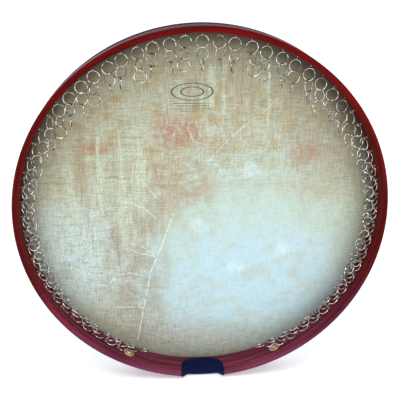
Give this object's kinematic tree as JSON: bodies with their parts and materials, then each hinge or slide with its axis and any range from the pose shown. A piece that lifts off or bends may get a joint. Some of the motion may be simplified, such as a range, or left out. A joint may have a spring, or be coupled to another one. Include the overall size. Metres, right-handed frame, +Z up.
{
  "type": "frame drum",
  "caption": "Ring-jingle frame drum: shallow round hoop, translucent film head, padded thumb notch and linked steel rings hanging all round the inside of the hoop.",
  "frame": {"origin": "centre of the padded thumb notch in the hoop's open edge, mid-thickness of the hoop wall at the bottom of the drum", "axes": "+Z up through the drum's centre, +Y along the drum axis from the open side to the head, +X to the right when looking into the open side"},
  "size_m": [0.559, 0.0495, 0.5609],
  "materials": {
    "shell": "red lacquered composite hoop",
    "head_film": "translucent mottled film",
    "collar": "dark navy trim",
    "pad": "soft dark navy pad",
    "brass": "satin brass",
    "rings": "bright plated steel wire"
  },
  "bodies": {
    "drum": {"shell": "shell", "drumhead": "head_film", "collar_band": "collar", "thumb_pad": "pad", "end_screw_left": "brass", "end_screw_right": "brass"},
    "rings_centre": {"rings_centre": "rings"},
    "rings_left_01_02": {"rings_left_01_02": "rings"},
    "rings_left_03_04": {"rings_left_03_04": "rings"},
    "rings_left_05_06": {"rings_left_05_06": "rings"},
    "rings_left_07_08": {"rings_left_07_08": "rings"},
    "rings_left_09_10": {"rings_left_09_10": "rings"},
    "rings_left_11": {"rings_left_11": "rings"},
    "rings_left_12": {"rings_left_12": "rings"},
    "rings_left_13": {"rings_left_13": "rings"},
    "rings_left_14": {"rings_left_14": "rings"},
    "rings_left_15": {"rings_left_15": "rings"},
    "rings_left_16": {"rings_left_16": "rings"},
    "rings_left_17": {"rings_left_17": "rings"},
    "rings_left_18": {"rings_left_18": "rings"},
    "rings_left_19": {"rings_left_19": "rings"},
    "rings_left_20": {"rings_left_20": "rings"},
    "rings_left_21": {"rings_left_21": "rings"},
    "rings_left_22": {"rings_left_22": "rings"},
    "rings_left_23": {"rings_left_23": "rings"},
    "rings_left_24": {"rings_left_24": "rings"},
    "rings_left_25": {"rings_left_25": "rings"},
    "rings_left_26": {"rings_left_26": "rings"},
    "rings_left_27": {"rings_left_27": "rings"},
    "rings_left_28": {"rings_left_28": "rings"},
    "rings_left_29": {"rings_left_29": "rings"},
    "rings_left_30": {"rings_left_30": "rings"},
    "rings_right_01_02": {"rings_right_01_02": "rings"},
    "rings_right_03_04": {"rings_right_03_04": "rings"},
    "rings_right_05_06": {"rings_right_05_06": "rings"},
    "rings_right_07_08": {"rings_right_07_08": "rings"},
    "rings_right_09_10": {"rings_right_09_10": "rings"},
    "rings_right_11": {"rings_right_11": "rings"},
    "rings_right_12": {"rings_right_12": "rings"},
    "rings_right_13": {"rings_right_13": "rings"},
    "rings_right_14": {"rings_right_14": "rings"},
    "rings_right_15": {"rings_right_15": "rings"},
    "rings_right_16": {"rings_right_16": "rings"},
    "rings_right_17": {"rings_right_17": "rings"},
    "rings_right_18": {"rings_right_18": "rings"},
    "rings_right_19": {"rings_right_19": "rings"},
    "rings_right_20": {"rings_right_20": "rings"},
    "rings_right_21": {"rings_right_21": "rings"},
    "rings_right_22": {"rings_right_22": "rings"},
    "rings_right_23": {"rings_right_23": "rings"},
    "rings_right_24": {"rings_right_24": "rings"},
    "rings_right_25": {"rings_right_25": "rings"},
    "rings_right_26": {"rings_right_26": "rings"},
    "rings_right_27": {"rings_right_27": "rings"},
    "rings_right_28": {"rings_right_28": "rings"},
    "rings_right_29": {"rings_right_29": "rings"},
    "rings_right_30": {"rings_right_30": "rings"}
  },
  "joints": [
    {"name": "rings_centre_swing", "type": "hinge", "parent": "drum", "child": "rings_centre", "pos_m": [0, 0.0135, 0.541], "axis": [1, 0, 0], "range_deg": [-50, 15]},
    {"name": "rings_left_01_02_swing", "type": "hinge", "parent": "drum", "child": "rings_left_01_02", "pos_m": [-0.03448, 0.0135, 0.5385], "axis": [0.9915, 0, 0.1297], "range_deg": [-50, 15]},
    {"name": "rings_left_03_04_swing", "type": "hinge", "parent": "drum", "child": "rings_left_03_04", "pos_m": [-0.07945, 0.0135, 0.5286], "axis": [0.9543, 0, 0.299], "range_deg": [-50, 15]},
    {"name": "rings_left_05_06_swing", "type": "hinge", "parent": "drum", "child": "rings_left_05_06", "pos_m": [-0.12203, 0.0135, 0.51107], "axis": [0.8883, 0, 0.4592], "range_deg": [-50, 15]},
    {"name": "rings_left_07_08_swing", "type": "hinge", "parent": "drum", "child": "rings_left_07_08", "pos_m": [-0.16095, 0.0135, 0.48647], "axis": [0.7957, 0, 0.6056], "range_deg": [-50, 15]},
    {"name": "rings_left_09_10_swing", "type": "hinge", "parent": "drum", "child": "rings_left_09_10", "pos_m": [-0.19504, 0.0135, 0.45551], "axis": [0.6792, 0, 0.7339], "range_deg": [-24, 15]},
    {"name": "rings_left_11_swing", "type": "hinge", "parent": "drum", "child": "rings_left_11", "pos_m": [-0.21701, 0.0135, 0.42882], "axis": [1, 0, 0], "range_deg": [-50, 15]},
    {"name": "rings_left_12_swing", "type": "hinge", "parent": "drum", "child": "rings_left_12", "pos_m": [-0.22952, 0.0135, 0.40945], "axis": [1, 0, 0], "range_deg": [-50, 15]},
    {"name": "rings_left_13_swing", "type": "hinge", "parent": "drum", "child": "rings_left_13", "pos_m": [-0.24031, 0.0135, 0.38905], "axis": [1, 0, 0], "range_deg": [-50, 15]},
    {"name": "rings_left_14_swing", "type": "hinge", "parent": "drum", "child": "rings_left_14", "pos_m": [-0.24929, 0.0135, 0.36781], "axis": [1, 0, 0], "range_deg": [-50, 15]},
    {"name": "rings_left_15_swing", "type": "hinge", "parent": "drum", "child": "rings_left_15", "pos_m": [-0.25639, 0.0135, 0.34586], "axis": [0.999, 0, 0.0445], "range_deg": [-50, 15]},
    {"name": "rings_left_16_swing", "type": "hinge", "parent": "drum", "child": "rings_left_16", "pos_m": [-0.26156, 0.0135, 0.32338], "axis": [0.9914, 0, 0.1309], "range_deg": [-50, 15]},
    {"name": "rings_left_17_swing", "type": "hinge", "parent": "drum", "child": "rings_left_17", "pos_m": [-0.26477, 0.0135, 0.30054], "axis": [0.9763, 0, 0.2163], "range_deg": [-50, 15]},
    {"name": "rings_left_18_swing", "type": "hinge", "parent": "drum", "child": "rings_left_18", "pos_m": [-0.26599, 0.0135, 0.27751], "axis": [0.9539, 0, 0.3], "range_deg": [-50, 15]},
    {"name": "rings_left_19_swing", "type": "hinge", "parent": "drum", "child": "rings_left_19", "pos_m": [-0.26521, 0.0135, 0.25445], "axis": [0.9243, 0, 0.3816], "range_deg": [-50, 15]},
    {"name": "rings_left_20_swing", "type": "hinge", "parent": "drum", "child": "rings_left_20", "pos_m": [-0.26243, 0.0135, 0.23156], "axis": [0.8878, 0, 0.4602], "range_deg": [-50, 15]},
    {"name": "rings_left_21_swing", "type": "hinge", "parent": "drum", "child": "rings_left_21", "pos_m": [-0.25768, 0.0135, 0.20898], "axis": [0.8446, 0, 0.5354], "range_deg": [-50, 15]},
    {"name": "rings_left_22_swing", "type": "hinge", "parent": "drum", "child": "rings_left_22", "pos_m": [-0.25099, 0.0135, 0.18691], "axis": [0.7951, 0, 0.6065], "range_deg": [-50, 15]},
    {"name": "rings_left_23_swing", "type": "hinge", "parent": "drum", "child": "rings_left_23", "pos_m": [-0.24241, 0.0135, 0.1655], "axis": [0.7395, 0, 0.6731], "range_deg": [-50, 15]},
    {"name": "rings_left_24_swing", "type": "hinge", "parent": "drum", "child": "rings_left_24", "pos_m": [-0.23202, 0.0135, 0.14491], "axis": [0.6784, 0, 0.7347], "range_deg": [-50, 15]},
    {"name": "rings_left_25_swing", "type": "hinge", "parent": "drum", "child": "rings_left_25", "pos_m": [-0.21987, 0.0135, 0.12529], "axis": [0.6122, 0, 0.7907], "range_deg": [-50, 15]},
    {"name": "rings_left_26_swing", "type": "hinge", "parent": "drum", "child": "rings_left_26", "pos_m": [-0.20608, 0.0135, 0.10681], "axis": [0.5414, 0, 0.8408], "range_deg": [-50, 15]},
    {"name": "rings_left_27_swing", "type": "hinge", "parent": "drum", "child": "rings_left_27", "pos_m": [-0.19073, 0.0135, 0.08959], "axis": [0.4665, 0, 0.8845], "range_deg": [-50, 15]},
    {"name": "rings_left_28_swing", "type": "hinge", "parent": "drum", "child": "rings_left_28", "pos_m": [-0.17395, 0.0135, 0.07376], "axis": [0.3882, 0, 0.9216], "range_deg": [-50, 15]},
    {"name": "rings_left_29_swing", "type": "hinge", "parent": "drum", "child": "rings_left_29", "pos_m": [-0.15586, 0.0135, 0.05945], "axis": [0.3069, 0, 0.9518], "range_deg": [-50, 15]},
    {"name": "rings_left_30_swing", "type": "hinge", "parent": "drum", "child": "rings_left_30", "pos_m": [-0.1366, 0.0135, 0.04675], "axis": [0.2233, 0, 0.9748], "range_deg": [-50, 15]},
    {"name": "rings_right_01_02_swing", "type": "hinge", "parent": "drum", "child": "rings_right_01_02", "pos_m": [0.03448, 0.0135, 0.5385], "axis": [0.9915, 0, -0.1297], "range_deg": [-50, 15]},
    {"name": "rings_right_03_04_swing", "type": "hinge", "parent": "drum", "child": "rings_right_03_04", "pos_m": [0.07945, 0.0135, 0.5286], "axis": [0.9543, 0, -0.299], "range_deg": [-50, 15]},
    {"name": "rings_right_05_06_swing", "type": "hinge", "parent": "drum", "child": "rings_right_05_06", "pos_m": [0.12203, 0.0135, 0.51107], "axis": [0.8883, 0, -0.4592], "range_deg": [-50, 15]},
    {"name": "rings_right_07_08_swing", "type": "hinge", "parent": "drum", "child": "rings_right_07_08", "pos_m": [0.16095, 0.0135, 0.48647], "axis": [0.7957, 0, -0.6056], "range_deg": [-50, 15]},
    {"name": "rings_right_09_10_swing", "type": "hinge", "parent": "drum", "child": "rings_right_09_10", "pos_m": [0.19504, 0.0135, 0.45551], "axis": [0.6792, 0, -0.7339], "range_deg": [-24, 15]},
    {"name": "rings_right_11_swing", "type": "hinge", "parent": "drum", "child": "rings_right_11", "pos_m": [0.21701, 0.0135, 0.42882], "axis": [1, 0, 0], "range_deg": [-50, 15]},
    {"name": "rings_right_12_swing", "type": "hinge", "parent": "drum", "child": "rings_right_12", "pos_m": [0.22952, 0.0135, 0.40945], "axis": [1, 0, 0], "range_deg": [-50, 15]},
    {"name": "rings_right_13_swing", "type": "hinge", "parent": "drum", "child": "rings_right_13", "pos_m": [0.24031, 0.0135, 0.38905], "axis": [1, 0, 0], "range_deg": [-50, 15]},
    {"name": "rings_right_14_swing", "type": "hinge", "parent": "drum", "child": "rings_right_14", "pos_m": [0.24929, 0.0135, 0.36781], "axis": [1, 0, 0], "range_deg": [-50, 15]},
    {"name": "rings_right_15_swing", "type": "hinge", "parent": "drum", "child": "rings_right_15", "pos_m": [0.25639, 0.0135, 0.34586], "axis": [0.999, 0, -0.0445], "range_deg": [-50, 15]},
    {"name": "rings_right_16_swing", "type": "hinge", "parent": "drum", "child": "rings_right_16", "pos_m": [0.26156, 0.0135, 0.32338], "axis": [0.9914, 0, -0.1309], "range_deg": [-50, 15]},
    {"name": "rings_right_17_swing", "type": "hinge", "parent": "drum", "child": "rings_right_17", "pos_m": [0.26477, 0.0135, 0.30054], "axis": [0.9763, 0, -0.2163], "range_deg": [-50, 15]},
    {"name": "rings_right_18_swing", "type": "hinge", "parent": "drum", "child": "rings_right_18", "pos_m": [0.26599, 0.0135, 0.27751], "axis": [0.9539, 0, -0.3], "range_deg": [-50, 15]},
    {"name": "rings_right_19_swing", "type": "hinge", "parent": "drum", "child": "rings_right_19", "pos_m": [0.26521, 0.0135, 0.25445], "axis": [0.9243, 0, -0.3816], "range_deg": [-50, 15]},
    {"name": "rings_right_20_swing", "type": "hinge", "parent": "drum", "child": "rings_right_20", "pos_m": [0.26243, 0.0135, 0.23156], "axis": [0.8878, 0, -0.4602], "range_deg": [-50, 15]},
    {"name": "rings_right_21_swing", "type": "hinge", "parent": "drum", "child": "rings_right_21", "pos_m": [0.25768, 0.0135, 0.20898], "axis": [0.8446, 0, -0.5354], "range_deg": [-50, 15]},
    {"name": "rings_right_22_swing", "type": "hinge", "parent": "drum", "child": "rings_right_22", "pos_m": [0.25099, 0.0135, 0.18691], "axis": [0.7951, 0, -0.6065], "range_deg": [-50, 15]},
    {"name": "rings_right_23_swing", "type": "hinge", "parent": "drum", "child": "rings_right_23", "pos_m": [0.24241, 0.0135, 0.1655], "axis": [0.7395, 0, -0.6731], "range_deg": [-50, 15]},
    {"name": "rings_right_24_swing", "type": "hinge", "parent": "drum", "child": "rings_right_24", "pos_m": [0.23202, 0.0135, 0.14491], "axis": [0.6784, 0, -0.7347], "range_deg": [-50, 15]},
    {"name": "rings_right_25_swing", "type": "hinge", "parent": "drum", "child": "rings_right_25", "pos_m": [0.21987, 0.0135, 0.12529], "axis": [0.6122, 0, -0.7907], "range_deg": [-50, 15]},
    {"name": "rings_right_26_swing", "type": "hinge", "parent": "drum", "child": "rings_right_26", "pos_m": [0.20608, 0.0135, 0.10681], "axis": [0.5414, 0, -0.8408], "range_deg": [-50, 15]},
    {"name": "rings_right_27_swing", "type": "hinge", "parent": "drum", "child": "rings_right_27", "pos_m": [0.19073, 0.0135, 0.08959], "axis": [0.4665, 0, -0.8845], "range_deg": [-50, 15]},
    {"name": "rings_right_28_swing", "type": "hinge", "parent": "drum", "child": "rings_right_28", "pos_m": [0.17395, 0.0135, 0.07376], "axis": [0.3882, 0, -0.9216], "range_deg": [-50, 15]},
    {"name": "rings_right_29_swing", "type": "hinge", "parent": "drum", "child": "rings_right_29", "pos_m": [0.15586, 0.0135, 0.05945], "axis": [0.3069, 0, -0.9518], "range_deg": [-50, 15]},
    {"name": "rings_right_30_swing", "type": "hinge", "parent": "drum", "child": "rings_right_30", "pos_m": [0.1366, 0.0135, 0.04675], "axis": [0.2233, 0, -0.9748], "range_deg": [-50, 15]}
  ]
}
